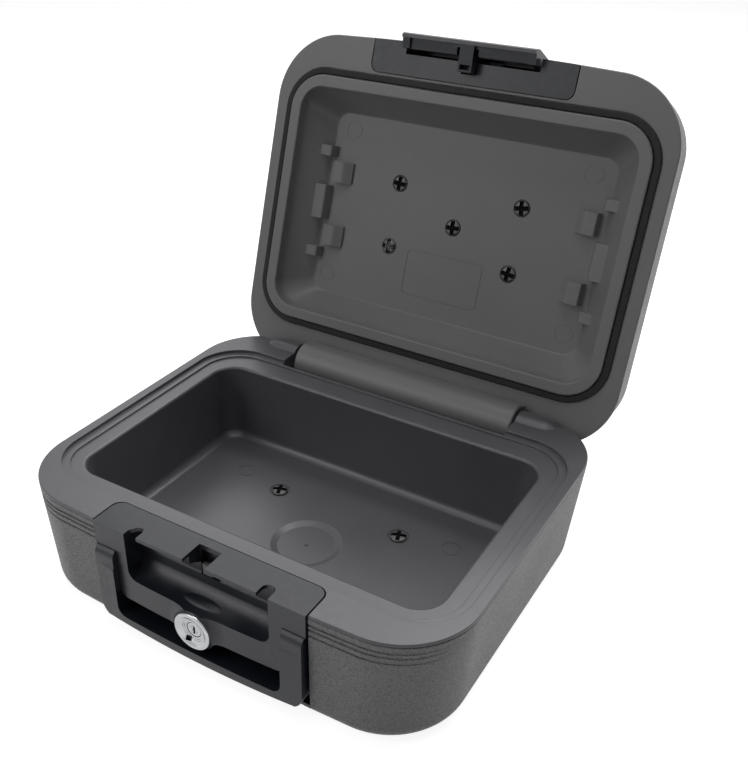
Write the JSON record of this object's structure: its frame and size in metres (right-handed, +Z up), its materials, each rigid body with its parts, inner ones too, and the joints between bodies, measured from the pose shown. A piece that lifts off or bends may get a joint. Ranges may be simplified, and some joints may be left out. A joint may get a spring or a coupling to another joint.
{
  "type": "document chest",
  "caption": "Small fire-resistant document chest with an open hinged lid, a sprung front latch, a round key lock and a fold-down carry handle.",
  "frame": {"origin": "middle of the base's flat underside", "axes": "+X to the chest's right, +Y to its back where the hinge is, +Z up; the lid is drawn open"},
  "size_m": [0.36, 0.4422, 0.3616],
  "materials": {
    "textured_grey": "fine stipple, satin-matt",
    "smooth_grey": "smooth satin",
    "black_plastic": "satin blue-black",
    "black_rubber": "matt",
    "cast_fill": "rough cast",
    "satin_chrome": "satin",
    "steel": "zinc plated",
    "black_screw": "black, satin"
  },
  "bodies": {
    "base": {"base_shell": "textured_grey", "base_liner": "smooth_grey", "base_insulation": "cast_fill", "base_screw_left": "black_screw", "base_screw_right": "black_screw", "lock_housing": "black_plastic", "lock_body": "satin_chrome", "lock_nut": "steel", "hinge_pin_left": "steel", "hinge_pin_right": "steel", "handle_pin_left": "steel", "handle_pin_right": "steel"},
    "lid": {"lid_shell": "textured_grey", "lid_liner": "smooth_grey", "lid_insulation": "cast_fill", "lid_seal": "black_rubber", "latch_plate": "black_plastic", "latch_pin": "steel", "latch_spring": "steel", "lid_screw_1": "black_screw", "lid_screw_2": "black_screw", "lid_screw_3": "black_screw", "lid_screw_4": "black_screw", "lid_screw_5": "black_screw"},
    "latch": {"latch_flap": "black_plastic"},
    "handle": {"handle": "black_plastic"},
    "lock_cylinder": {"lock_plug": "satin_chrome", "lock_cam": "steel"},
    "bolt": {"lock_bolt": "steel"}
  },
  "joints": [
    {"name": "lid_hinge", "type": "hinge", "parent": "base", "child": "lid", "pos_m": [0, 0.1384, 0.0817], "axis": [-1, 0, 0], "range_deg": [-107.1, 0]},
    {"name": "latch_hinge", "type": "hinge", "parent": "lid", "child": "latch", "pos_m": [0, 0.25204, 0.33613], "axis": [-1, 0, 0], "range_deg": [0, 20], "stiffness_Nm_per_rad": 0.05, "springref_deg": -20.05},
    {"name": "handle_hinge", "type": "hinge", "parent": "base", "child": "handle", "pos_m": [0, -0.146, 0.0659], "axis": [-1, 0, 0], "range_deg": [0, 90]},
    {"name": "key_turn", "type": "hinge", "parent": "base", "child": "lock_cylinder", "pos_m": [0, -0.14, 0.038], "axis": [0, 1, 0], "range_deg": [0, 90]},
    {"name": "bolt_slide", "type": "slide", "parent": "base", "child": "bolt", "axis": [0, 0, 1], "range_m": [0, 0.0061]}
  ],
  "couplings": [
    {"joint": "bolt_slide", "follows": "key_turn", "m_per_rad": 0.0038197}
  ]
}
